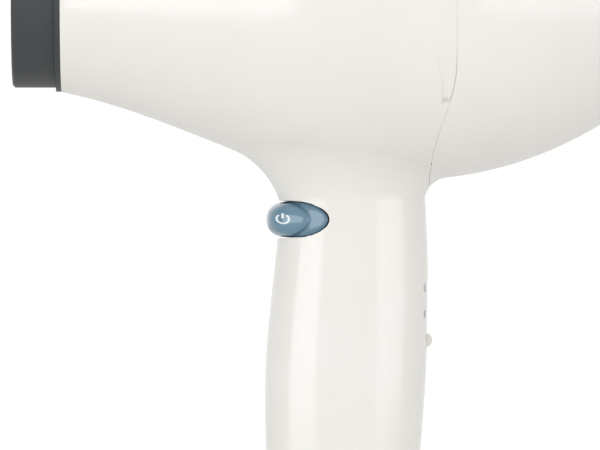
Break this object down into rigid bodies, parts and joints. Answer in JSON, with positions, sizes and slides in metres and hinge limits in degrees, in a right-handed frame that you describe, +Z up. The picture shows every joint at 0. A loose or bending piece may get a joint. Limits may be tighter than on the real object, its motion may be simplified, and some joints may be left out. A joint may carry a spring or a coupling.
{
  "type": "hair dryer",
  "caption": "Hair dryer: round tapering barrel, smooth handle, wrap-round front push button and a small slide switch on the spine.",
  "frame": {"origin": "on the barrel axis, in the outlet collar's face", "axes": "+X along the barrel axis from the outlet to the intake, +Z up, handle along -Z, Y across the width"},
  "size_m": [0.1548, 0.0912, 0.2302],
  "materials": {
    "ivory_plastic": "glossy injection-moulded ABS",
    "slate_plastic": "glossy moulded plastic",
    "charcoal_plastic": "satin heat-resistant plastic",
    "duct_plastic": "glass-filled plastic",
    "filter_mesh": "woven wire",
    "seal_rubber": "soft rubber",
    "screw_steel": "zinc-plated",
    "fan_plastic": "moulded nylon",
    "shaft_steel": "ground steel",
    "core_steel": "stacked laminations",
    "copper_wire": "enamelled copper",
    "can_steel": "drawn and plated",
    "ferrite": "sintered ferrite",
    "black_plastic": "moulded plastic",
    "bronze": "sintered bronze",
    "brass": "stamped brass",
    "board": "glass-epoxy board",
    "mica": "pressed mica sheet",
    "heater_wire": "oxidised nickel-chrome wire",
    "white_ceramic": "fired ceramic",
    "chassis_plastic": "moulded plastic",
    "capacitor_case": "cast resin case",
    "wire_brown": "extruded PVC",
    "wire_blue": "extruded PVC"
  },
  "bodies": {
    "housing": {"main_housing": "ivory_plastic", "rear_cover": "ivory_plastic", "outlet_ring": "charcoal_plastic", "outlet_grille": "charcoal_plastic", "intake_grille": "charcoal_plastic", "intake_filter": "filter_mesh", "fan_duct": "duct_plastic", "duct_seal": "seal_rubber", "duct_screws": "screw_steel", "motor_can": "can_steel", "motor_magnets": "ferrite", "motor_end_bell": "black_plastic", "motor_bushes": "bronze", "motor_brushes": "black_plastic", "motor_terminals": "brass", "motor_screws": "screw_steel", "rectifier_board": "board", "rectifier_diodes": "black_plastic", "mica_tube": "mica", "mica_board_upright": "mica", "mica_board_level": "mica", "heater_coil_low": "heater_wire", "heater_coil_high": "heater_wire", "thermostat": "white_ceramic", "thermal_fuse": "shaft_steel", "microswitch": "black_plastic", "slide_switch": "black_plastic", "handle_chassis": "chassis_plastic", "noise_capacitor": "capacitor_case", "terminal_block": "white_ceramic", "lead_live": "wire_brown", "lead_link": "wire_brown", "lead_motor": "wire_brown", "lead_neutral": "wire_blue", "end_cap": "ivory_plastic", "cap_screws": "screw_steel", "cord_gland": "charcoal_plastic"},
    "fan": {"fan_impeller": "fan_plastic", "motor_shaft": "shaft_steel", "armature_core": "core_steel", "armature_winding": "copper_wire", "commutator": "copper_wire"},
    "trigger": {"trigger_button": "slate_plastic", "trigger_plunger": "white_ceramic", "trigger_spring": "shaft_steel"},
    "slider": {"switch_knob": "ivory_plastic", "switch_carriage": "charcoal_plastic"}
  },
  "joints": [
    {"name": "fan_spin", "type": "hinge", "parent": "housing", "child": "fan", "pos_m": [0.12, 0, 0], "axis": [1, 0, 0], "continuous": true},
    {"name": "trigger_press", "type": "slide", "parent": "housing", "child": "trigger", "axis": [1, 0, 0], "range_m": [0, 0.0018], "stiffness_N_per_m": 900, "springref_m": -0.0015, "deforming": ["trigger_spring"]},
    {"name": "knob_slide", "type": "slide", "parent": "housing", "child": "slider", "axis": [0, 0, 1], "range_m": [0, 0.0134]}
  ]
}
